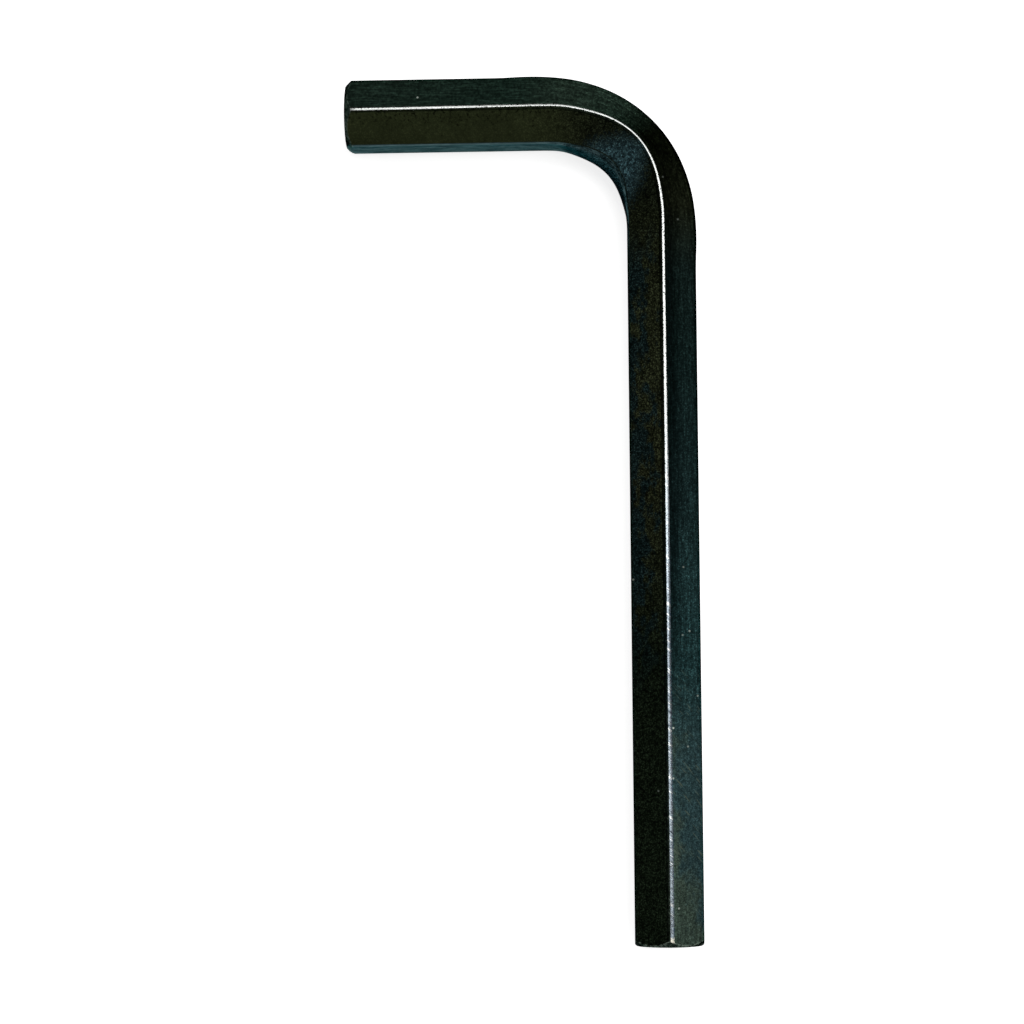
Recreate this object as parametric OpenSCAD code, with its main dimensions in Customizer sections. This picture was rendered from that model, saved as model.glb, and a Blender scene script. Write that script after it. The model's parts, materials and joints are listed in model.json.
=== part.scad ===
// Hex key: one hexagonal steel bar, bent cold into a long and a short arm.
// It lies as it rests on a table, on the two ridges underneath, with its bend plane level.
// Origin: bottom centre of the bounding box. The long arm runs towards -Y, the short arm towards -X.
// Lengths in millimetres.

/* [Bar] */
// Width of the bar across its flats, which is the size of the drive
across_flats = 8; // [5:0.5:12]
// Radius that rounds the six ridges of the drawn bar
ridge_r = 0.74; // [0.1:0.02:1]

/* [Arms] */
// Length of the long arm, from its end face to the outer face of the short arm
long_arm = 101.5; // [60:0.5:200]
// Length of the short arm, from its end face to the outer face of the long arm
short_arm = 41; // [32:0.5:90]

/* [Bend] */
// Radius of the bar's centre line in the bend
bend_r = 12.8; // [10:0.2:18]
// Length over which the bar eases from straight into the full bend
bend_ease = 3.2; // [0.4:0.2:6]
// Depth by which the stretched outer flat sinks in the bend
outer_sink = 0.18; // [0:0.02:0.4]
// Height of the shoulder that stands on the outer flat where the bend begins
shoulder_h = 0.12; // [0:0.02:0.3]
// Length of straight bar that each shoulder takes
shoulder_run = 5; // [2:0.5:7]
// Distance by which the middle of the bend pushes its upper and lower ridges outward
ridge_shift = 0.7; // [0:0.05:1]
// Height of the crown that the squeezed inner flat swells to
inner_crown = 0.95; // [0:0.05:1.3]
// Share by which the inner side thickens and the outer side thins
upset = 0.1; // [0:0.01:0.15]

/* [Ends] */
// Depth of the chamfer on the short arm's end, measured at the ridges
short_chamfer = 0.8; // [0.2:0.05:1.5]
// Depth of the chamfer on the long arm's end, measured at the ridges
long_chamfer = 0.65; // [0.2:0.05:1.5]

/* [Hidden] */

// Half the bar across its flats, and the reach from its axis to a sharp corner
half_flats = across_flats / 2;
corner_reach = across_flats / sqrt(3);
// Reach from the axis to the centre of a ridge's rounding, and to its crest
rounding_reach = corner_reach - ridge_r * 2 / sqrt(3);
crest = rounding_reach + ridge_r;

// Facets round one ridge, across one flat and along the pressed stretch
ridge_facets = 4;
flat_facets = 4;
bend_facets = 44;

// Arc length of the bend, and of the pressed stretch with both its shoulders
bend_length = bend_r * PI / 2 + bend_ease;
pressed_length = bend_length + 2 * shoulder_run;
facet_length = pressed_length / bend_facets;

// The section, as points [outward, up]: six rounded ridges with a divided flat after each
function ridge_direction(k) = 90 + 60 * k;
function ridge_point(k, turn) =
    rounding_reach * [cos(ridge_direction(k)), sin(ridge_direction(k))]
    + ridge_r * [cos(ridge_direction(k) + turn), sin(ridge_direction(k) + turn)];
function ridge_points(k) = [for (i = [0 : ridge_facets]) ridge_point(k, 60 * i / ridge_facets - 30)];
function flat_points(k) = [for (i = [1 : flat_facets - 1])
    let (share = i / flat_facets)
    ridge_point(k, 30) * (1 - share) + ridge_point(k + 1, -30) * share];
section = [for (k = [0 : 5]) each concat(ridge_points(k), flat_points(k))];

// Angle turned at arc length s. Curvature rises and falls as a half cosine over bend_ease.
function eased_turn(s) = (s - bend_ease / PI * sin(180 * s / bend_ease)) / (2 * bend_r) * 180 / PI;
function turn_at(s) =
    s <= 0 ? 0 :
    s >= bend_length ? 90 :
    s < bend_ease ? eased_turn(s) :
    s > bend_length - bend_ease ? 90 - eased_turn(bend_length - s) :
    (s - bend_ease / 2) / bend_r * 180 / PI;

// Stations along the pressed stretch, as [x, y, arc length], summed from the middle of each facet
function station_s(i) = i * facet_length - shoulder_run;
function facet_run(i) =
    let (turn = turn_at(station_s(i + 0.5)))
    facet_length * [-sin(turn), cos(turn)];
pressed_stations = [for (i = 0, p = [0, 0]; i <= bend_facets; p = p + facet_run(i), i = i + 1)
    [p[0], p[1], station_s(i)]];

// Distance from the first of them to where the two arms' centre lines cross, and the arms beyond
reach = pressed_stations[bend_facets][1];
long_straight = long_arm - half_flats - reach;
short_straight = short_arm - half_flats - reach;

// The pressed stretch runs on into each arm by a lap, and its skin lies a hair inside the arms'
lap = 1;
skin_gap = 0.01;
stations = concat(
    [[0, -lap, -shoulder_run - lap]],
    pressed_stations,
    [[-reach - lap, reach, bend_length + shoulder_run + lap]]
);
skin_scale = 1 - skin_gap / half_flats;

// Place of the first pressed station, with the bounding box centred on the origin
start_x = short_arm / 2 - half_flats;
start_y = long_arm / 2 - half_flats - reach;

// How the press marks the bar at arc length s, as shares from 0 to 1
function hump(t) = t <= 0 || t >= 1 ? 0 : (1 - cos(360 * t)) / 2;
function rise(t) = t <= 0 ? 0 : t >= 1 ? 1 : (1 - cos(180 * t)) / 2;
function from_nearer_end(s) = min(s, bend_length - s);
function squeeze(s) = hump(s / bend_length);
function ridge_slide(s) = hump((s / bend_length - 0.12) / 0.7);
function sunk(s) = rise(from_nearer_end(s) / (2 * bend_ease));
function shoulder(s) = hump((from_nearer_end(s) + shoulder_run) / (shoulder_run + bend_ease));

// A point of the section, moved as the press moves it. The outer flat sinks behind its
// shoulder, the ridges slide outward, and the inner flat widens and swells to a crown.
function pressed(p, s) =
    let (outer_share = max(0, p[0] / half_flats))
    let (flat_share = p[0] < 0 ? max(0, 1 - pow(p[1] / (corner_reach / 2), 2)) : 0)
    let (slide = ridge_shift * ridge_slide(s) * (1 - outer_share))
    let (crown = inner_crown * squeeze(s) * flat_share)
    let (outer_step = (shoulder_h * shoulder(s) - outer_sink * sunk(s)) * outer_share)
    [p[0] + slide - crown + outer_step, p[1] * (1 - upset * squeeze(s) * p[0] / half_flats)];

// A point of the section set on its station, with its outward axis turned to the bend's outside
function placed(p, station) =
    let (turn = turn_at(station[2]))
    [station[0] + p[0] * cos(turn), station[1] + p[0] * sin(turn), p[1]];

// The pressed stretch: a ring of section points at each station, joined by two triangles a facet
module pressed_bend() {
    ring = len(section);
    rings = len(stations);
    points = [for (station = stations) for (p = section)
        placed(pressed(p * skin_scale, station[2]), station)];
    sides = [for (i = [0 : rings - 2]) for (j = [0 : ring - 1])
        let (a = i * ring + j)
        let (b = i * ring + (j + 1) % ring)
        each [[a, b, a + ring], [b, b + ring, a + ring]]];
    first_face = [for (j = [ring - 1 : -1 : 0]) j];
    last_face = [for (j = [0 : ring - 1]) (rings - 1) * ring + j];
    polyhedron(points, concat(sides, [first_face, last_face]));
}

// A straight arm with its chamfered end, drawn up along Z from where the pressed stretch stops
module arm(length, chamfer) {
    margin = across_flats;
    intersection() {
        linear_extrude(length) polygon(section);
        rotate_extrude($fn = 96)
            polygon([
                [0, -margin],
                [crest + margin, -margin],
                [crest + margin, length - chamfer - margin],
                [crest - chamfer, length],
                [0, length]
            ]);
    }
}

module hex_key() {
    color([0.12, 0.14, 0.12])
        translate([start_x, start_y, crest]) {
            pressed_bend();
            rotate([90, 0, 0]) arm(long_straight, long_chamfer);
            translate([-reach, reach, 0]) rotate([0, -90, 0]) rotate([0, 0, 90])
                arm(short_straight, short_chamfer);
        }
}

hex_key();
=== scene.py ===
# %% [markdown]
# # A black hex key
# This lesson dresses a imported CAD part: one hexagonal steel bar, bent cold into an L and
# blackened. The CAD solid gives the sizes. Here the same bar gets a finer mesh, turned
# chamfers with soft edges, worn ridges and an oxide finish that follows the bar round its bend.
#
# A plain cylinder or a flat colour would be quicker, but a hex key is all edges and sheen.
# What makes it look real is how light runs along the ridges, so most cells are about that.

# %% Load the CAD frame
import json
import math

import bmesh
import bpy
from mathutils import Euler, Matrix, Vector
from mathutils.bvhtree import BVHTree
from mathutils.interpolate import poly_3d_calc


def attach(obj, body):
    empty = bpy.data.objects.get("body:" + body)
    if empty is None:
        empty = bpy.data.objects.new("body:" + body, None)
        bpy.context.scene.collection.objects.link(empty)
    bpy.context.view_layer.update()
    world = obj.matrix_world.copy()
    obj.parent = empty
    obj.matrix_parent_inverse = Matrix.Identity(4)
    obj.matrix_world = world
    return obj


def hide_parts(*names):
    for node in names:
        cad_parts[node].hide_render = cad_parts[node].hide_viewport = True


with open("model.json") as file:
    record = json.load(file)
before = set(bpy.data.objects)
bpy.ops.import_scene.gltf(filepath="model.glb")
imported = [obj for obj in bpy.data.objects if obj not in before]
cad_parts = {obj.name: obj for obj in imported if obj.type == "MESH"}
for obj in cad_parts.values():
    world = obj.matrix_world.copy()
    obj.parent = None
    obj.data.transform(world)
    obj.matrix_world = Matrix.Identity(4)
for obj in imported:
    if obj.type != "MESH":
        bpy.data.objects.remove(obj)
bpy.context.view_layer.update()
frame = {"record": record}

# %% [markdown]
# ## Sizes
# The record's two end-face mounts say where the bar's axis starts and stops. The arms' axes
# cross at one corner point, at the height of the bar's axis above the table. Everything else
# is worked out from there and from the bar's own few sizes, in metres.

# %% Sizes of the bar
MM = 0.001

mounts = {mount["name"]: Vector(mount["pos_m"]) for mount in frame["record"]["mounts"]}
LONG_END = mounts["long_drive_face"]
SHORT_END = mounts["short_drive_face"]
CORNER = Vector((LONG_END.x, SHORT_END.y, LONG_END.z))

ACROSS_FLATS = 8 * MM
HALF_FLATS = ACROSS_FLATS / 2
SHARP_CORNER = ACROSS_FLATS / math.sqrt(3)
RIDGE_RADIUS = 0.74 * MM
CREST = CORNER.z

print("axes cross at, in mm:", [round(value / MM, 3) for value in CORNER])

# %% [markdown]
# ## The line of the bend
# A bar bent round a former doesn't go from straight to a true arc at once. The curvature
# eases in and out over a few millimetres. `turn_at` gives the angle that the bar has turned
# at a length `s` from the start of the bend, and `centre_at` adds up the small steps to there.
# Blender's Simple Deform modifier also bends, but only to a plain arc.

# %% The line of the bend
BEND_RADIUS = 12.8 * MM
BEND_EASE = 3.2 * MM
BEND_LENGTH = BEND_RADIUS * math.pi / 2 + BEND_EASE
LINE_STEP = 0.05 * MM


def eased_turn(s):
    """Angle turned while the curvature still rises."""
    return (s - BEND_EASE / math.pi * math.sin(math.pi * s / BEND_EASE)) / (2 * BEND_RADIUS)


def turn_at(s):
    """Angle in radians that the bar has turned at length s from the start of the bend."""
    if s <= 0:
        return 0.0
    if s >= BEND_LENGTH:
        return math.pi / 2
    if s < BEND_EASE:
        return eased_turn(s)
    if s > BEND_LENGTH - BEND_EASE:
        return math.pi / 2 - eased_turn(BEND_LENGTH - s)
    return (s - BEND_EASE / 2) / BEND_RADIUS


steps = round(BEND_LENGTH / LINE_STEP)
step = BEND_LENGTH / steps
centre_line = [Vector((0, 0, 0))]
for number in range(steps):
    turn = turn_at((number + 0.5) * step)
    centre_line.append(centre_line[-1] + step * Vector((-math.sin(turn), math.cos(turn), 0)))
REACH = centre_line[-1].y


def centre_at(s):
    """Point of the bent centre line at length s, measured from the start of the bend."""
    if s <= 0:
        return Vector((0, s, 0))
    if s >= BEND_LENGTH:
        return centre_line[-1] + Vector((BEND_LENGTH - s, 0, 0))
    place = s / step
    number = min(int(place), steps - 1)
    return centre_line[number].lerp(centre_line[number + 1], place - number)


LONG_STRAIGHT = CORNER.y - LONG_END.y - REACH
SHORT_STRAIGHT = CORNER.x - SHORT_END.x - REACH
BAR_START = -LONG_STRAIGHT
BAR_END = BEND_LENGTH + SHORT_STRAIGHT
print(f"bar cut to {(BAR_END - BAR_START) / MM:.1f} mm")
print(f"bend starts {REACH / MM:.2f} mm before the corner")

# %% [markdown]
# ## The drawn bar
# The real bar is drawn through a hexagonal die and cut to length before it is bent, so the
# mesh starts the same way. `create_circle` with six segments is the section. A vertex bevel
# rounds its six corners, and cuts across the flats let them sink and swell later. A face
# extruded three times gives the two arms and the stretch that the press will shape, and each
# length is then cut into rings, closest together where the bend needs them.

# %% Draw the section
RIDGE_FACETS = 8
FLAT_CUTS = 7

bar = bmesh.new()
bmesh.ops.create_circle(bar, cap_ends=True, segments=6, radius=SHARP_CORNER)
bmesh.ops.rotate(bar, verts=bar.verts[:], matrix=Matrix.Rotation(math.pi / 2, 3, "X"))
bmesh.ops.bevel(
    bar,
    geom=bar.verts[:],
    offset=RIDGE_RADIUS * math.tan(math.pi / 6),
    offset_type="OFFSET",
    segments=RIDGE_FACETS,
    profile=0.5,
    affect="VERTICES",
    material=-1,
)
flat_edges = [edge for edge in bar.edges if edge.calc_length() > HALF_FLATS / 2]
bmesh.ops.subdivide_edges(bar, edges=flat_edges, cuts=FLAT_CUTS)
bmesh.ops.translate(bar, verts=bar.verts[:], vec=(0, BAR_START, 0))
print("points round the section:", len(bar.verts))

# %% Draw it out to length
PRESSED_RUN = 5 * MM
ARM_RING = 1.5 * MM
BEND_RING = 0.3 * MM


def push_out(cap, keep=False):
    """Extrude an end face in place, drop the old face unless it is kept, return the new one."""
    grown = bmesh.ops.extrude_face_region(bar, geom=[cap])["geom"]
    if not keep:
        bmesh.ops.delete(bar, geom=[cap], context="FACES_ONLY")
    return next(item for item in grown if isinstance(item, bmesh.types.BMFace))


def draw_out(cap, length, ring_spacing, keep=False):
    """Extrude the end face by length, cut the new stretch into rings, return the new end face."""
    new_cap = push_out(cap, keep)
    front = new_cap.verts[:]
    bmesh.ops.translate(bar, verts=front, vec=(0, length, 0))
    leading = set(front)
    lengthwise = [
        edge
        for vert in front
        for edge in vert.link_edges
        if edge.other_vert(vert) not in leading
    ]
    bmesh.ops.subdivide_edges(
        bar, edges=lengthwise, cuts=round(length / ring_spacing) - 1, use_grid_fill=True
    )
    return new_cap


face = draw_out(bar.faces[:][0], LONG_STRAIGHT - PRESSED_RUN, ARM_RING, keep=True)
face = draw_out(face, BEND_LENGTH + 2 * PRESSED_RUN, BEND_RING)
face = draw_out(face, SHORT_STRAIGHT - PRESSED_RUN, ARM_RING)
end_faces = [item for item in bar.faces if len(item.verts) > 4]
print("faces of the drawn bar:", len(bar.faces), "of them end faces:", len(end_faces))

# %% [markdown]
# ## Chamfered ends
# Each end is turned to a cone on a lathe. The cone cuts deep into the ridges and hardly into
# the flats, which leaves six scallops. A boolean with a cone would give them too, but as long
# thin triangles that shade badly. Here the end face is extruded onto the small circle of the
# cone, and the old rim slides back along the bar to where the cone meets the hexagon. A tiny
# bevel on both rims then catches the light as a real machined edge does.

# %% Turn the chamfers
SHORT_CHAMFER = 0.8 * MM
LONG_CHAMFER = 0.65 * MM
EDGE_BREAK = 0.035 * MM


def radius_of(vert):
    """Distance of a vertex from the axis of the straight bar."""
    return math.hypot(vert.co.x, vert.co.z)


def turn_chamfer(cap, depth, outward):
    """Give one end of the straight bar its cone. outward is 1 or -1, along Y."""
    face_radius = CREST - depth
    rim = cap.verts[:]
    circle = push_out(cap).verts[:]
    for vert in rim:
        vert.co.y -= outward * (radius_of(vert) - face_radius)
    for vert in circle:
        scale = face_radius / radius_of(vert)
        vert.co.x *= scale
        vert.co.z *= scale
    rims = [
        edge
        for loop in (set(rim), set(circle))
        for edge in {edge for vert in loop for edge in vert.link_edges}
        if edge.verts[0] in loop and edge.verts[1] in loop
    ]
    bmesh.ops.bevel(
        bar,
        geom=rims,
        offset=EDGE_BREAK,
        offset_type="OFFSET",
        segments=2,
        profile=0.5,
        affect="EDGES",
        material=-1,
    )


end_faces.sort(key=lambda item: item.verts[0].co.y)
turn_chamfer(end_faces[0], LONG_CHAMFER, -1)
turn_chamfer(end_faces[1], SHORT_CHAMFER, 1)
print("faces after the chamfers:", len(bar.faces))

# %% [markdown]
# ## A map of the straight bar
# The finish must run along the bar and round the bend with it: drawing lines, wear on the
# ridges, scratches. So each vertex keeps a note of where it was while the bar was still
# straight. The materials read that note as the attribute `drawn`, and no UV map is needed.

# %% Keep the straight bar's coordinates
drawn = bar.verts.layers.float_vector.new("drawn")
for vert in bar.verts:
    vert[drawn] = vert.co.copy()

# %% [markdown]
# ## Pressed and bent
# In the press the outside of the bend stretches and the inside is squeezed. The outer flat
# sinks a little behind a low shoulder at each end of the bend, the top and bottom ridges slide
# outwards, and the inner flat widens and swells into a crown. These are small moves of tenths
# of a millimetre, worked out for each vertex from its place on the section and along the bar.
# The shoulder is a little lower here than in the CAD part, so that the finer mesh stays inside
# that part's box.

# %% Press marks along the bend
OUTER_SINK = 0.18 * MM
SHOULDER_HEIGHT = 0.105 * MM
RIDGE_SHIFT = 0.7 * MM
INNER_CROWN = 0.95 * MM
UPSET = 0.1
# Where along the bend the ridges slide, as shares of its length
SLIDE_START, SLIDE_RUN = 0.12, 0.7


def hump(t):
    """A smooth swell from 0 to 1 and back as t goes from 0 to 1."""
    return (1 - math.cos(2 * math.pi * min(max(t, 0), 1))) / 2


def rise(t):
    """A smooth step from 0 to 1 as t goes from 0 to 1."""
    return (1 - math.cos(math.pi * min(max(t, 0), 1))) / 2


def press(point):
    """Move a point of the straight bar as the press moves it, before the bar is bent."""
    s = point.y
    from_nearer_end = min(s, BEND_LENGTH - s)
    squeeze = hump(s / BEND_LENGTH)
    ridge_slide = hump((s / BEND_LENGTH - SLIDE_START) / SLIDE_RUN)
    sunk = rise(from_nearer_end / (2 * BEND_EASE))
    shoulder = hump((from_nearer_end + PRESSED_RUN) / (PRESSED_RUN + BEND_EASE))
    outer_share = max(0, point.x / HALF_FLATS)
    flat_share = max(0, 1 - (point.z / (SHARP_CORNER / 2)) ** 2) if point.x < 0 else 0
    slide = RIDGE_SHIFT * ridge_slide * (1 - outer_share)
    crown = INNER_CROWN * squeeze * flat_share
    outer_step = (SHOULDER_HEIGHT * shoulder - OUTER_SINK * sunk) * outer_share
    return Vector((
        point.x + slide - crown + outer_step,
        s,
        point.z * (1 - UPSET * squeeze * point.x / HALF_FLATS),
    ))


# %% [markdown]
# ## Wear, then press and bend
# The wear is in the mesh too, but under a tenth of a millimetre deep. Towards the long arm's
# end all ridges are scuffed, and a narrow flat is rubbed on the top and bottom ones. Then each
# vertex goes through the press and takes its place on the bent centre line.

# %% Wear, then press and bend
WORN_LENGTH = 40 * MM
WORN_DEPTH = 0.035 * MM
FACET_DEPTH = 0.085 * MM
FACET_TILT = math.radians(20)
ROUNDING_REACH = CREST - RIDGE_RADIUS


def wear(point):
    """Scuff the ridges towards the long arm's end, and rub a flat on the top and bottom ones."""
    share = rise((BAR_START + WORN_LENGTH - point.y) / WORN_LENGTH)
    limit = CREST - WORN_DEPTH * share
    radius = math.hypot(point.x, point.z)
    if radius > limit:
        point = Vector((point.x * limit / radius, point.y, point.z * limit / radius))
    facing = Vector((math.sin(FACET_TILT), 0, math.copysign(math.cos(FACET_TILT), point.z)))
    facet_reach = ROUNDING_REACH * math.cos(FACET_TILT) + RIDGE_RADIUS - FACET_DEPTH * share
    proud = point.dot(facing) - facet_reach
    return point - facing * max(0, proud)


bend_start = Vector((CORNER.x, CORNER.y - REACH, CORNER.z))
for vert in bar.verts:
    point = press(wear(vert.co))
    turn = turn_at(point.y)
    outward = Vector((math.cos(turn), math.sin(turn), 0))
    vert.co = bend_start + centre_at(point.y) + outward * point.x + Vector((0, 0, point.z))

bmesh.ops.recalc_face_normals(bar, faces=bar.faces[:])
for item in bar.faces:
    item.smooth = True
print("volume in mm3:", round(bar.calc_volume(signed=True) / MM**3, 1))

# %% [markdown]
# ## Into the frame
# The mesh becomes one object, which rides on the root body in place of the CAD node. The
# modifier weights each normal by the size of its faces, so the flats shade evenly right up to
# the roundings, and no edge has to be split.

# %% Make the bar an object
bar_mesh = bpy.data.meshes.new("bent_bar")
bar.to_mesh(bar_mesh)
bar.free()
bent_bar = bpy.data.objects.new("bent_bar", bar_mesh)
bpy.context.scene.collection.objects.link(bent_bar)

even_shading = bent_bar.modifiers.new("even_shading", "WEIGHTED_NORMAL")
even_shading.weight = 50
even_shading.keep_sharp = True

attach(bent_bar, "root")
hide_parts("hex_key")
print("faces of the bent bar:", len(bar_mesh.polygons))

# %% [markdown]
# ## Oxide on steel
# The black on a hex key is a thin oxide grown in a hot bath, not paint. It is dark, slightly
# green or blue, satin, and it shows every drawing line of the bar below it. Where hands and
# sockets rub, on the ridges and the turned edges, the bare steel shines through.
# Both are metals, so one metallic shader serves, and masks choose its colour and roughness. The
# bright line on the top and bottom ridges is partly that wear and partly a painted glint.

# %% Small helpers for shader nodes
def add_node(tree, kind, settings=None, **inputs):
    """Add a shader node. settings are its options, and each input is a value or a socket.

    An input goes by its label, with underscores for spaces, or by its number, as in _0.
    """
    made = tree.nodes.new("ShaderNode" + kind)
    for name, value in (settings or {}).items():
        setattr(made, name, value)
    for name, value in inputs.items():
        key = int(name[1:]) if name[0] == "_" else name.replace("_", " ")
        socket = made.inputs[key]
        if isinstance(value, bpy.types.NodeSocket):
            tree.links.new(value, socket)
        else:
            socket.default_value = value
    return made


def calculate(tree, operation, first, second=0.0, third=0.0):
    """One step of arithmetic between numbers or sockets."""
    made = add_node(tree, "Math", {"operation": operation}, _0=first, _1=second, _2=third)
    return made.outputs[0]


def product(tree, *values):
    """Multiply two or more numbers or sockets."""
    result = values[0]
    for value in values[1:]:
        result = calculate(tree, "MULTIPLY", result, value)
    return result


def distance_from(tree, value, middle):
    """How far value lies from middle, on either side."""
    return calculate(tree, "ABSOLUTE", calculate(tree, "SUBTRACT", value, middle))


def ramp(tree, value, low, high, to_low=0.0, to_high=1.0):
    """A smooth change from to_low to to_high while value goes from low to high."""
    made = add_node(
        tree,
        "MapRange",
        {"interpolation_type": "SMOOTHSTEP"},
        Value=value,
        From_Min=low,
        From_Max=high,
        To_Min=to_low,
        To_Max=to_high,
    )
    return made.outputs[0]


# %% Helpers for colours
def colour(red, green, blue):
    """A colour with full alpha, from linear values."""
    return (red, green, blue, 1.0)


def blend_colours(tree, share, first, second):
    """Mix two colours by share."""
    made = add_node(tree, "Mix", {"data_type": "RGBA"}, _0=share, _6=first, _7=second)
    return made.outputs[2]


def blend_numbers(tree, share, first, second):
    """Mix two numbers by share."""
    made = add_node(tree, "Mix", {"data_type": "FLOAT"}, _0=share, _2=first, _3=second)
    return made.outputs[0]


def scale_colour(tree, tint, amount):
    """Make a colour lighter or darker by amount."""
    if isinstance(tint, tuple):
        tint = tint[:3]
    made = add_node(tree, "VectorMath", {"operation": "SCALE"}, _0=tint, Scale=amount)
    return made.outputs[0]


def colours_along(tree, along, stops):
    """A colour that changes along the bar. stops are pairs of millimetres and colour."""
    start, stop = stops[0][0], stops[-1][0]
    share = add_node(tree, "MapRange", Value=along, From_Min=start, From_Max=stop).outputs[0]
    made = add_node(tree, "ValToRGB", Fac=share)
    elements = made.color_ramp.elements
    elements[0].color = stops[0][1]
    elements[1].color = stops[-1][1]
    for place, tint in stops[1:-1]:
        elements.new((place - start) / (stop - start)).color = tint
    return made.outputs[0]


# %% [markdown]
# ## Places on the bar
# The attribute `drawn` gives three distances in millimetres. `outwards` runs across the bar,
# above zero on the outside of the bend and below zero on the inside. `along` runs from the
# long arm's end, below zero, through the bend, which starts at zero, to the short arm's end.
# `upwards` is the height over the axis. Every mask below is made from these.

# %% Places on the straight bar, in millimetres
oxide = bpy.data.materials.new("black_oxide")
oxide.use_nodes = True
tree = oxide.node_tree
shader = tree.nodes["Principled BSDF"]
shader.inputs["Metallic"].default_value = 1.0

straight = add_node(tree, "Attribute", {"attribute_name": "drawn"})
millimetres = scale_colour(tree, straight.outputs["Vector"], 1 / MM)
axes = add_node(tree, "SeparateXYZ", Vector=millimetres)
outwards, along, upwards = axes.outputs[0], axes.outputs[1], axes.outputs[2]
squares = calculate(tree, "ADD", product(tree, outwards, outwards), product(tree, upwards, upwards))
from_axis = calculate(tree, "SQRT", squares)

START, END, BENT = BAR_START / MM, BAR_END / MM, BEND_LENGTH / MM
print(f"along the bar: end {START:.1f}, bend 0 to {BENT:.1f}, other end {END:.1f} mm")

# %% Drawing lines, speckle and mottling
def noise(scale, detail, roughness, stretch=1.0):
    """Noise on the straight bar. A stretch under 1 draws it out lengthwise."""
    factors = (1.0, stretch, 1.0)
    place = add_node(tree, "VectorMath", {"operation": "MULTIPLY"}, _0=millimetres, _1=factors)
    made = add_node(
        tree, "TexNoise", Vector=place.outputs[0], Scale=scale, Detail=detail, Roughness=roughness
    )
    return made.outputs[0]


def ring_noise(value, scale, detail, roughness):
    """Noise that changes only with one number, for marks that cross the bar or circle its axis."""
    made = add_node(
        tree,
        "TexNoise",
        {"noise_dimensions": "1D"},
        W=value,
        Scale=scale,
        Detail=detail,
        Roughness=roughness,
    )
    return made.outputs[0]


drawing_lines = noise(2.4, 4.0, 0.6, stretch=0.05)
fine_streaks = noise(4.6, 3.0, 0.6, stretch=0.10)
speckle = noise(2.6, 3.0, 0.65)
grit = noise(6.0, 2.0, 0.6)
mottle = noise(0.45, 3.0, 0.5)
clouds = noise(0.55, 4.0, 0.65, stretch=0.6)
uneven = calculate(tree, "SUBTRACT", speckle, 0.5)
print("nodes for places and noises:", len(tree.nodes))

# %% [markdown]
# ## Tints along the bar, with painted light and shade
# The oxide is not one black, and these tints paint light and shade as well. On the outer side it
# is green on the short arm and nearly black round the bend, which is painted shade. Towards the
# worn end it is teal and grows lighter, and that lightening is painted light. Clouds of khaki and
# blue-teal share the last stretch. A colour ramp along the bar holds these few colours. One ramp
# node is easier to tune than a chain of mixes, and it follows the bar round the bend.

# %% Tints of the outer side, with painted light and shade
# Colour stops along the outer side: oxide tone, with painted shade round the bend and painted light
# towards the long arm's end
OUTER_TINTS_AND_PAINTED_LIGHT = [
    (START, colour(0.023, 0.052, 0.049)),
    (-54.0, colour(0.0135, 0.0350, 0.0360)),
    (-32.0, colour(0.0056, 0.0125, 0.0125)),
    (-14.0, colour(0.0034, 0.0078, 0.0072)),
    (-5.0, colour(0.0034, 0.0068, 0.0060)),
    (2.5, colour(0.0042, 0.0052, 0.0028)),
    (10.5, colour(0.0038, 0.0050, 0.0026)),
    (15.0, colour(0.022, 0.038, 0.028)),
    (20.0, colour(0.022, 0.037, 0.027)),
    (26.0, colour(0.0140, 0.0280, 0.0210)),
    (END, colour(0.0180, 0.0320, 0.0240)),
]
KHAKI = colour(0.043, 0.066, 0.051)
BLUE_TEAL = colour(0.026, 0.053, 0.056)

outer_side = ramp(tree, outwards, -0.5, 0.5)
near_long_end = ramp(tree, along, -50.0, -64.0)
clouds_by_line = calculate(tree, "MULTIPLY_ADD", outwards, -0.09, clouds)
more_at_end = ramp(tree, along, START + 14.0, START + 1.5, -0.13, 0.22)
khaki_share = ramp(tree, calculate(tree, "ADD", clouds_by_line, more_at_end), 0.16, 0.50)
end_tint = blend_colours(tree, khaki_share, BLUE_TEAL, KHAKI)
outer_tint = blend_colours(tree, near_long_end, colours_along(tree, along, OUTER_TINTS_AND_PAINTED_LIGHT), end_tint)
print("tints along the outer side:", len(OUTER_TINTS_AND_PAINTED_LIGHT))

# %% [markdown]
# The inner side is olive on the short arm, darker round the bend, olive again beyond it and
# black towards the long arm's end. The darkening round the bend and towards the long arm's end
# is painted shade. Cold blue-black clouds lie along most of the long arm. The flat on the very
# inside is black along the long arm and teal from the bend on.

# %% Tints of the inner side, with painted shade
# Colour stops along the inner side: olive oxide, darkened round the bend and towards the long arm's
# end as painted shade
INNER_TINTS_AND_PAINTED_SHADE = [
    (START, colour(0.0080, 0.0130, 0.0072)),
    (-50.0, colour(0.0084, 0.0135, 0.0075)),
    (-30.0, colour(0.0225, 0.0265, 0.0130)),
    (-10.0, colour(0.0225, 0.0275, 0.0135)),
    (0.0, colour(0.0140, 0.0175, 0.0085)),
    (5.0, colour(0.0085, 0.0115, 0.0065)),
    (16.0, colour(0.0110, 0.0140, 0.0075)),
    (23.0, colour(0.0310, 0.0390, 0.0165)),
    (END, colour(0.0320, 0.0400, 0.0165)),
]
BLUE_BLACK = colour(0.0075, 0.0170, 0.0180)
INNER_FLAT_BLACK = colour(0.006, 0.010, 0.008)
INNER_FLAT_TEAL = colour(0.013, 0.027, 0.030)

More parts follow.
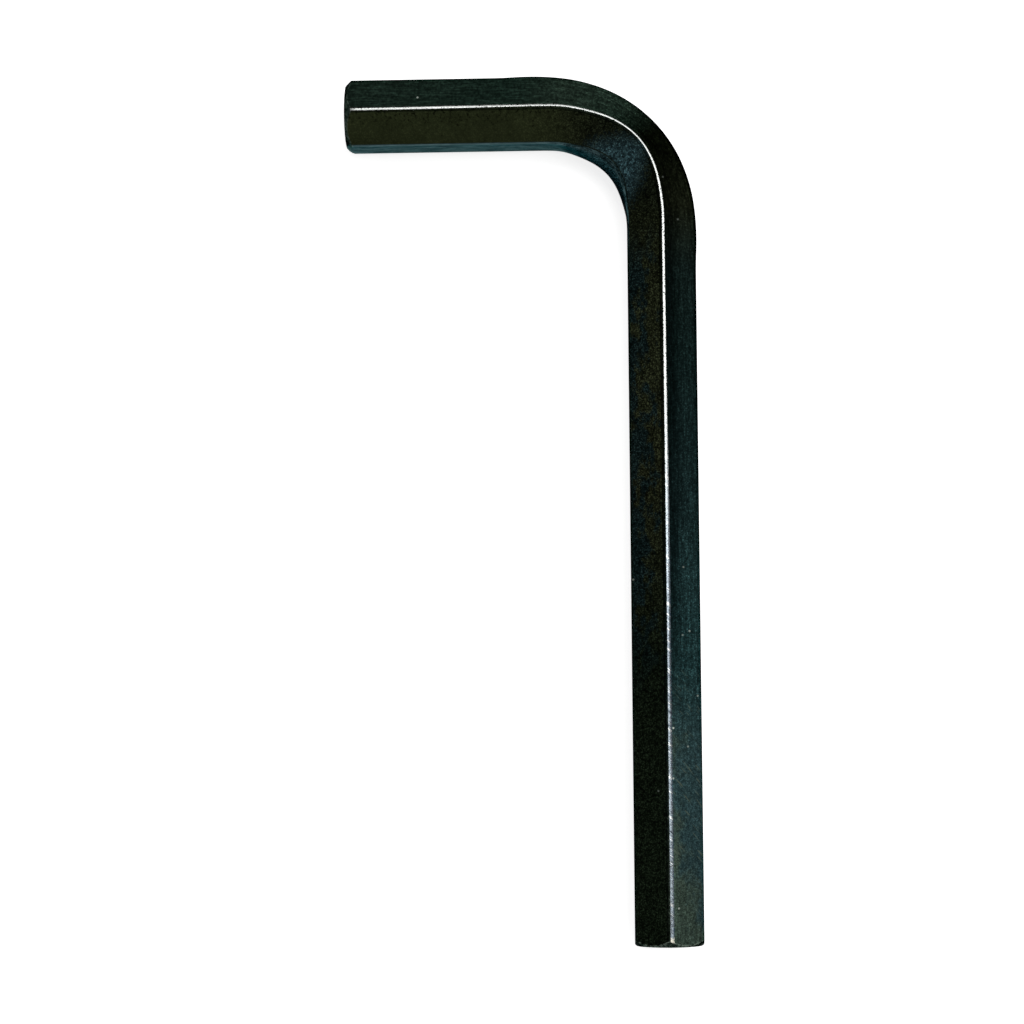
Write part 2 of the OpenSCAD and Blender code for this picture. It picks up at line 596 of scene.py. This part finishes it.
cold_clouds = ramp(tree, calculate(tree, "MULTIPLY_ADD", outwards, -0.05, clouds), 0.54, 0.66)
cold_share = product(
    tree, cold_clouds, ramp(tree, along, 2.0, -6.0), ramp(tree, along, -56.0, -44.0, 0.0, 0.9)
)
inner_tint = blend_colours(tree, cold_share, colours_along(tree, along, INNER_TINTS_AND_PAINTED_SHADE), BLUE_BLACK)
tint = blend_colours(tree, outer_side, inner_tint, outer_tint)

short_side = ramp(tree, along, -4.0, 7.0)
inner_flat_tint = blend_colours(tree, short_side, INNER_FLAT_BLACK, INNER_FLAT_TEAL)
tint = blend_colours(tree, ramp(tree, outwards, -3.68, -3.82), tint, inner_flat_tint)
print("tints along the inner side:", len(INNER_TINTS_AND_PAINTED_SHADE))

# %% [markdown]
# A painted blue sheen lies inside the bend: painted reflection of light on the inner face that
# the press has turned. It fades with the distance from the middle of the bend and from the inner
# flat, and the speckle breaks up its edge.

# %% Painted sheen inside the bend
# Painted reflection: a blue sheen of light inside the bend
PAINTED_BLUE_SHEEN = colour(0.042, 0.088, 0.099)
PAINTED_SHEEN_MIDDLE = 10.0

from_inner_flat = calculate(tree, "ADD", outwards, 3.4)
from_middle = distance_from(tree, along, PAINTED_SHEEN_MIDDLE)
sheen_reach = calculate(tree, "MULTIPLY_ADD", from_inner_flat, 1.4, from_middle)
ragged_reach = calculate(tree, "MULTIPLY_ADD", uneven, 8.0, sheen_reach)
on_inner_side = ramp(tree, distance_from(tree, outwards, -1.7), 1.85, 2.0, 1.0, 0.0)
painted_sheen = product(tree, ramp(tree, ragged_reach, 2.5, 7.5, 1.0, 0.0), on_inner_side)
tint = blend_colours(tree, painted_sheen, tint, PAINTED_BLUE_SHEEN)
print("nodes with the tints:", len(tree.nodes))

# %% [markdown]
# ## Grain
# Up close the oxide is grainy, and the grain isn't the same everywhere. The outer side has
# streaks from the drawing die, the inner side is pitted, the short arm is calmer, and the long
# arm's end is cloudy. Each grain is a brightness, and it multiplies the tint.

# %% Grain of the outer side
streaked = product(
    tree,
    ramp(tree, fine_streaks, 0.42, 0.68, 0.78, 1.60),
    ramp(tree, speckle, 0.3, 0.7, 0.65, 1.4),
)
coarse_grain = product(
    tree,
    ramp(tree, grit, 0.40, 0.60, 0.55, 1.05),
    ramp(tree, grit, 0.56, 0.70, 1.0, 2.2),
)
calm_grain = ramp(tree, grit, 0.42, 0.66, 0.85, 1.20)
grain = blend_numbers(tree, ramp(tree, along, 12.0, 26.0), coarse_grain, calm_grain)
clouded = product(
    tree,
    ramp(tree, grit, 0.38, 0.64, 0.70, 1.45),
    ramp(tree, speckle, 0.35, 0.65, 0.75, 1.25),
)
cloudy_share = product(tree, near_long_end, 0.75)
outer_shade = blend_numbers(tree, cloudy_share, product(tree, streaked, grain), clouded)

banded = calculate(tree, "MULTIPLY_ADD", drawing_lines, 2.5, outwards)
banded = ramp(tree, banded, 1.9, 4.0, 0.50, 1.50)
band_share = product(tree, ramp(tree, along, 10.0, 0.0), ramp(tree, along, -56.0, -44.0))
outer_shade = product(tree, outer_shade, blend_numbers(tree, band_share, 1.0, banded))
print("nodes with the outer grain:", len(tree.nodes))

# %% Grain of the inner side
pitted = product(
    tree,
    ramp(tree, speckle, 0.36, 0.56, 0.40, 1.25),
    ramp(tree, grit, 0.47, 0.67, 0.62, 3.40),
    ramp(tree, mottle, 0.35, 0.60, 0.80, 1.10),
)
spots_by_line = calculate(tree, "MULTIPLY_ADD", outwards, -0.05, speckle)
blotched = product(
    tree,
    ramp(tree, spots_by_line, 0.40, 0.48, 0.35, 1.10),
    ramp(tree, mottle, 0.35, 0.65, 0.88, 1.06),
)
inner_shade = blend_numbers(tree, ramp(tree, along, 12.0, 26.0, 0.0, 0.80), pitted, blotched)
# Inside the painted sheen the grain turns to bright specks of painted reflection
sparkling = product(
    tree,
    ramp(tree, speckle, 0.42, 0.62, 0.35, 1.75),
    ramp(tree, grit, 0.52, 0.68, 0.80, 3.00),
)
inner_shade = blend_numbers(tree, painted_sheen, inner_shade, sparkling)
print("nodes with the inner grain:", len(tree.nodes))

# %% [markdown]
# On the rounding of the ridge right beside the bright line, the oxide is painted darker, as
# painted shade. That rounding lies further from the axis than any point of a flat does, so the
# distance finds it.

# %% Put tint, grain and painted shade together
FLAT_REACH = 4.42

on_rounding = ramp(tree, from_axis, FLAT_REACH, FLAT_REACH + 0.04)
near_crest = ramp(tree, calculate(tree, "ABSOLUTE", outwards), 1.0, 0.6)
painted_shade_beside_line = product(tree, on_rounding, near_crest)
shade = blend_numbers(tree, outer_side, inner_shade, outer_shade)
# Painted shade: the rounding beside the bright line is darkened to a quarter
shade = product(tree, shade, ramp(tree, painted_shade_beside_line, 0.0, 1.0, 1.0, 0.25))
shaded = scale_colour(tree, tint, shade)
print("nodes with the grain:", len(tree.nodes))

# %% [markdown]
# ## Edges of the inner flat
# Seen at a low angle, a metal in this shader takes its specular tint instead of its own colour.
# On the short arm's inner flat that tint is teal with streaks. Along both edges of that flat,
# from the bend on, runs a thin broken painted highlight: a pale teal line of light on the rounded
# corner.

# %% Edge tint and the painted highlight on the inner corner
EDGE_TEAL = colour(0.40, 0.57, 0.585)
EDGE_BLACK = colour(0.03, 0.07, 0.08)
PAINTED_CORNER_HIGHLIGHT = colour(0.070, 0.122, 0.130)

inner_flat = ramp(tree, outwards, -3.55, -3.75)
teal_edge = product(tree, inner_flat, ramp(tree, along, 6.0, 24.0))
edge_streaks = ramp(tree, fine_streaks, 0.38, 0.62, 0.66, 1.30)
streaked_teal = scale_colour(tree, EDGE_TEAL, edge_streaks)
edge_tint = blend_colours(tree, teal_edge, EDGE_BLACK, streaked_teal)

whole_on_arm = ramp(tree, along, BENT - 3, BENT, 0.0, 0.6)
broken = calculate(tree, "MAXIMUM", ramp(tree, fine_streaks, 0.47, 0.60), whole_on_arm)
# Painted highlight: a pale teal line of light on the rounded inner corner
painted_corner_highlight = product(
    tree,
    ramp(tree, from_axis, 4.465, 4.49),
    ramp(tree, outwards, -3.0, -3.3),
    ramp(tree, along, -4.0, 3.0),
    broken,
)
shaded = blend_colours(tree, painted_corner_highlight, shaded, PAINTED_CORNER_HIGHLIGHT)
print("nodes with the edges:", len(tree.nodes))

# %% [markdown]
# ## Marks of use
# A few pale specks lie on the upper side, like small chips in the oxide. Each is a round dot at
# its own place, so a list of places is clearer than a noise with a threshold. The list holds the
# pixel where the photograph shows each speck. A ray from the camera through that pixel meets a
# face of the bar, and the `drawn` attribute, blended between the face's corners, tells where on
# the straight bar that is. So a speck stays on the bar, seen from any side.

# %% Find the place on the bar behind a pixel
PICTURE_SIDE = 1024
SENSOR_WIDTH, CAMERA_LENS = 36.0, 105.47
CAMERA_PLACE = Vector((13.30, -24.12, 354.68)) * MM
CAMERA_TURN = Euler([math.radians(angle) for angle in (3.868, 2.426, -0.492)])

corners = [vertex.co for vertex in bar_mesh.vertices]
skin = BVHTree.FromPolygons(corners, [tuple(face.vertices) for face in bar_mesh.polygons])
drawn_places = bar_mesh.attributes["drawn"].data


def place_behind(pixel_x, pixel_y):
    """Place on the straight bar, in millimetres, that lies behind a pixel of the photograph."""
    middle = PICTURE_SIDE / 2
    depth = PICTURE_SIDE * CAMERA_LENS / SENSOR_WIDTH
    ray = Vector((pixel_x - middle, middle - pixel_y, -depth))
    ray.rotate(CAMERA_TURN)
    hit, _, face_number, _ = skin.ray_cast(CAMERA_PLACE, ray)
    face = bar_mesh.polygons[face_number].vertices
    shares = poly_3d_calc([corners[corner] for corner in face], hit)
    place = Vector((0, 0, 0))
    for corner, share in zip(face, shares):
        place += drawn_places[corner].vector * share
    return place / MM


print("faces that a ray can meet:", len(bar_mesh.polygons))

# %% Specks
# Each speck as its pixel in the photograph, across and down, and its strength
SPECKS = [
    (417.5, 97.5, 1.0),
    (662.8, 176.8, 0.12),
    (677.8, 219.3, 0.10),
    (683.4, 567.0, 0.3),
    (633.4, 579.6, 0.5),
    (689.5, 631.0, 0.5),
    (682.7, 635.0, 0.3),
    (697.7, 695.7, 0.4),
    (673.3, 728.0, 1.0),
    (688.0, 746.5, 0.4),
    (673.2, 778.4, 0.8),
    (658.4, 791.0, 0.3),
    (679.0, 908.5, 0.8),
]
SPECK_CORE, SPECK_RIM = 0.06, 0.16
SPECK_COLOUR = colour(0.46, 0.52, 0.46)

specks = 0.0
for pixel_x, pixel_y, strength in SPECKS:
    place = place_behind(pixel_x, pixel_y)
    print(f"speck at {place.y:.2f} mm along, {place.x:.2f} mm outwards")
    apart_along = calculate(tree, "POWER", calculate(tree, "SUBTRACT", along, place.y), 2.0)
    apart_out = calculate(tree, "POWER", calculate(tree, "SUBTRACT", outwards, place.x), 2.0)
    gap = calculate(tree, "POWER", calculate(tree, "ADD", apart_along, apart_out), 0.5)
    speck = ramp(tree, gap, SPECK_CORE, SPECK_RIM, strength, 0.0)
    specks = calculate(tree, "MAXIMUM", specks, speck)
specks = product(tree, specks, ramp(tree, upwards, 0.0, 1.0))
shaded = blend_colours(tree, specks, shaded, SPECK_COLOUR)
print("specks:", len(SPECKS))

# %% [markdown]
# Fine slanted scratches near the long arm's end do come from a noise, stretched thin along one
# direction and cut high.

# %% Scratches
SCRATCH_ANGLE = -0.70
SCRATCH_STRETCH = (6.0, 0.35, 1.0)
SCRATCH_COLOUR = colour(0.080, 0.105, 0.080)

slanted = add_node(
    tree, "VectorRotate", {"rotation_type": "Z_AXIS"}, Vector=millimetres, Angle=SCRATCH_ANGLE
)
drawn_thin = add_node(
    tree, "VectorMath", {"operation": "MULTIPLY"}, _0=slanted.outputs[0], _1=SCRATCH_STRETCH
)
scratch_noise = add_node(
    tree, "TexNoise", Vector=drawn_thin.outputs[0], Scale=1.0, Detail=1.0
).outputs[0]
scratches = product(
    tree,
    ramp(tree, scratch_noise, 0.66, 0.71),
    ramp(tree, along, -45.0, -65.0, 0.0, 0.8),
    outer_side,
)
shaded = blend_colours(tree, scratches, shaded, SCRATCH_COLOUR)
print("nodes with specks and scratches:", len(tree.nodes))

# %% [markdown]
# ## The worn line and its painted glint
# A crisp bright line runs along the top and bottom ridges. It is a painted glint, set a little to
# the outside of the crest where the lamp's reflection falls, and on the short arm it slides back
# over the crest. Towards the long arm's end it is also wear, and sockets have rubbed it wider
# there. A point is on the line if it is near enough to the line's middle, and the grit takes
# bites out of both edges.

# %% Place and width of the painted glint and worn line
LINE_EDGE = 0.015

rubbed = ramp(tree, along, 2.0, -44.0)
# The painted glint sits a little outside the crest, where the lamp's reflection falls
crest_offset = ramp(tree, along, BENT, END, 0.20, 0.04)
line_middle = calculate(tree, "ADD", crest_offset, product(tree, rubbed, 0.12))
arm_half = ramp(tree, along, BENT, BENT + 8, 0.120, 0.145)
line_half = calculate(tree, "MULTIPLY_ADD", rubbed, 0.10, arm_half)
bites = ramp(tree, grit, 0.53, 0.64, 0.0, 0.13)
bitten = calculate(tree, "ADD", distance_from(tree, outwards, line_middle), bites)
past_edge = calculate(tree, "SUBTRACT", bitten, line_half)
# Mask of the bright line: a painted glint along the bar, and worn steel as well towards the long
# arm's end
glint_and_wear_line = ramp(tree, past_edge, -LINE_EDGE, LINE_EDGE, 1.0, 0.0)
print("nodes with the worn line's place:", len(tree.nodes))

# %% [markdown]
# Round the bend and on the short arm the painted glint is nearly white. Along the long arm it
# turns to worn silver, nicked across with dark and bright marks, and a blue fringe shows at its
# outer edge. Its brightness along the long arm is painted light as well. At the very end a pale
# chip is left.

# %% Painted glint and worn steel of the line
# Near-white of the painted glint; the colours after it are worn steel and its nicks
PAINTED_GLINT_WHITE = colour(0.46, 0.475, 0.46)
DARK_NICK = colour(0.050, 0.065, 0.085)
WORN_STEEL = colour(0.30, 0.35, 0.39)
BRIGHT_NICK = colour(0.80, 0.82, 0.80)
BLUE_FRINGE = colour(0.045, 0.075, 0.125)

across_line = calculate(tree, "MULTIPLY_ADD", outwards, 0.8, along)
nicks = ring_noise(across_line, 1.3, 4.0, 0.7)
fewer_dark_nicks = ramp(tree, along, -40.0, -66.0, 0.90, 0.0)
steel_share = calculate(tree, "MAXIMUM", ramp(tree, nicks, 0.33, 0.42), fewer_dark_nicks)
nicked = blend_colours(tree, steel_share, DARK_NICK, WORN_STEEL)
nicked = blend_colours(tree, ramp(tree, nicks, 0.56, 0.64), nicked, BRIGHT_NICK)
nicked = scale_colour(tree, nicked, ramp(tree, grit, 0.36, 0.62, 0.55, 1.45))
fringe_edge = calculate(tree, "MULTIPLY_ADD", uneven, 0.5, outwards)
nicked = blend_colours(tree, ramp(tree, fringe_edge, 0.40, 0.56), nicked, BLUE_FRINGE)
print("nodes with the nicks:", len(tree.nodes))

# %% Painted light and wear along the line, and the chip at its end
CREAM_CHIP = colour(0.95, 0.92, 0.78)

# Painted light: the line dims along the middle of the long arm and brightens again near its end
dulled = ramp(tree, along, -32.0, -52.0, 1.0, 0.60)
brighter_again = ramp(tree, along, -52.0, -66.0, 0.0, 0.32)
nicked = scale_colour(tree, nicked, calculate(tree, "ADD", dulled, brighter_again))
painted_glint = scale_colour(tree, PAINTED_GLINT_WHITE, ramp(tree, grit, 0.36, 0.62, 0.78, 1.12))
silvered = ramp(tree, along, -12.0, -46.0)
glint_and_wear_tint = blend_colours(tree, silvered, painted_glint, nicked)

ragged_end = calculate(tree, "MULTIPLY_ADD", uneven, 1.2, along)
chip = ramp(tree, ragged_end, START + 1.0, START + 1.3, 1.0, 0.0)
glint_and_wear_tint = blend_colours(tree, chip, glint_and_wear_tint, CREAM_CHIP)
print("nodes with the worn line:", len(tree.nodes))

# %% [markdown]
# ## The turned ends in the shader
# A lathe leaves fine circular grooves, so on the chamfers and end faces a one-dimensional noise
# of the distance from the axis takes over. A second material on those faces would do as well,
# but the cones are known, so a mask serves: a point is turned if it lies on the cone of its end
# or on the end face. The edge just behind each cone has lost some of its oxide.

# %% Turned ends
TURNED_BLACK = colour(0.012, 0.018, 0.015)
RIM_TEAL = colour(0.180, 0.230, 0.190)


def past_cone(tip, face_radius):
    """How far behind the turned cone of one end a point lies, and its distance from the tip."""
    inside = distance_from(tree, along, tip)
    cone_depth = calculate(tree, "SUBTRACT", from_axis, face_radius)
    return calculate(tree, "SUBTRACT", inside, cone_depth), inside


behind_long, from_long_end = past_cone(START, (CREST - LONG_CHAMFER) / MM)
behind_short, from_short_end = past_cone(END, (CREST - SHORT_CHAMFER) / MM)
behind_cone = calculate(tree, "MINIMUM", behind_long, behind_short)
from_tip = calculate(tree, "MINIMUM", from_long_end, from_short_end)
on_cone = ramp(tree, behind_cone, 0.01, 0.05, 1.0, 0.0)
on_face = ramp(tree, from_tip, 0.01, 0.04, 1.0, 0.0)
turned = calculate(tree, "MAXIMUM", on_cone, on_face)

grooves = ring_noise(from_axis, 6.0, 2.0, 0.6)
turned_tint = scale_colour(tree, TURNED_BLACK, ramp(tree, grooves, 0.3, 0.7, 0.4, 2.0))
rim = product(
    tree,
    ramp(tree, distance_from(tree, behind_cone, 0.05), 0.03, 0.06, 1.0, 0.0),
    ramp(tree, speckle, 0.42, 0.58),
    ramp(tree, along, 0.0, 20.0, 1.0, 0.4),
)
print("nodes with the turned ends:", len(tree.nodes))

# %% [markdown]
# ## Joining the features
# Shaded oxide, turned black, rims and the worn line with its painted glint are laid over each
# other in that order. That line is smoother than the oxide. The bump is speckle and drawing lines,
# two hundredths of a millimetre deep, with the grooves in their place on the turned ends.

# %% Join the features in the shader
ROUGH_LOW, ROUGH_HIGH, POLISH = 0.34, 0.46, -0.18
RELIEF = 0.02 * MM

not_turned = calculate(tree, "SUBTRACT", 1.0, turned)
glint_and_wear_line = product(tree, glint_and_wear_line, not_turned)
dark = blend_colours(tree, turned, shaded, turned_tint)
dark = blend_colours(tree, rim, dark, RIM_TEAL)
base = blend_colours(tree, glint_and_wear_line, dark, glint_and_wear_tint)
oxide_roughness = ramp(tree, speckle, 0.3, 0.7, ROUGH_LOW, ROUGH_HIGH)
roughness = calculate(tree, "MULTIPLY_ADD", glint_and_wear_line, POLISH, oxide_roughness)

surface = calculate(tree, "ADD", product(tree, speckle, 0.6), product(tree, drawing_lines, 0.4))
oxide_height = product(tree, surface, not_turned)
height = calculate(tree, "ADD", oxide_height, product(tree, grooves, turned))
relief = add_node(tree, "Bump", Strength=0.35, Distance=RELIEF, Height=height)

tree.links.new(base, shader.inputs["Base Color"])
tree.links.new(edge_tint, shader.inputs["Specular Tint"])
tree.links.new(roughness, shader.inputs["Roughness"])
tree.links.new(relief.outputs[0], shader.inputs["Normal"])
bar_mesh.materials.append(oxide)
print("nodes in the finished oxide:", len(tree.nodes))

# %% [markdown]
# ## Floor, light and camera
# The key lies on a pale floor under one broad softbox, high up behind it on the right, as in a
# catalogue shot. The floor adds a little of its own white for the camera and for reflections
# only, so that it reads as white paper but still keeps the key's soft shadow.

# %% Floor
floor_mesh = bpy.data.meshes.new("floor")
floor_shape = bmesh.new()
bmesh.ops.create_grid(floor_shape, x_segments=1, y_segments=1, size=4.0)
floor_shape.to_mesh(floor_mesh)
floor_shape.free()
floor = bpy.data.objects.new("floor", floor_mesh)
bpy.context.scene.collection.objects.link(floor)

CAMERA_GLOW, GLOSS_GLOW = 0.75, 0.4
paper = bpy.data.materials.new("white_paper")
paper.use_nodes = True
tree = paper.node_tree
matt = tree.nodes["Principled BSDF"]
matt.inputs["Base Color"].default_value = colour(0.8, 0.8, 0.8)
matt.inputs["Roughness"].default_value = 0.9
matt.inputs["Specular IOR Level"].default_value = 0.0
matt.inputs["Emission Color"].default_value = colour(1.0, 1.0, 1.0)
rays = add_node(tree, "LightPath")
to_camera = product(tree, rays.outputs["Is Camera Ray"], CAMERA_GLOW)
to_gloss = product(tree, rays.outputs["Is Glossy Ray"], GLOSS_GLOW)
glow = calculate(tree, "MAXIMUM", to_camera, to_gloss)
tree.links.new(glow, matt.inputs["Emission Strength"])
floor_mesh.materials.append(paper)
print("paper made of nodes:", len(tree.nodes))

# %% Lamps and world
def softbox(name, place, target, width, depth, power):
    """An area lamp that faces target."""
    data = bpy.data.lights.new(name, "AREA")
    data.shape = "RECTANGLE"
    data.size = width
    data.size_y = depth
    data.energy = power
    lamp = bpy.data.objects.new(name, data)
    lamp.location = place
    lamp.rotation_euler = (Vector(target) - Vector(place)).to_track_quat("-Z", "Y").to_euler()
    bpy.context.scene.collection.objects.link(lamp)
    return lamp


softbox("big_softbox", (0.35, 0.32, 0.72), (0.01, 0.0, 0.0), 0.95, 0.95, 7.5)

world = bpy.data.worlds.new("studio")
world.use_nodes = True
background = world.node_tree.nodes["Background"]
background.inputs["Color"].default_value = colour(1.0, 1.0, 1.0)
background.inputs["Strength"].default_value = 0.3
bpy.context.scene.world = world
bpy.context.scene.view_settings.view_transform = "Standard"

# %% Camera
camera_data = bpy.data.cameras.new("camera")
camera_data.sensor_width = SENSOR_WIDTH
camera_data.lens = CAMERA_LENS
camera = bpy.data.objects.new("camera", camera_data)
camera.location = CAMERA_PLACE
camera.rotation_euler = CAMERA_TURN
bpy.context.scene.collection.objects.link(camera)
bpy.context.scene.camera = camera
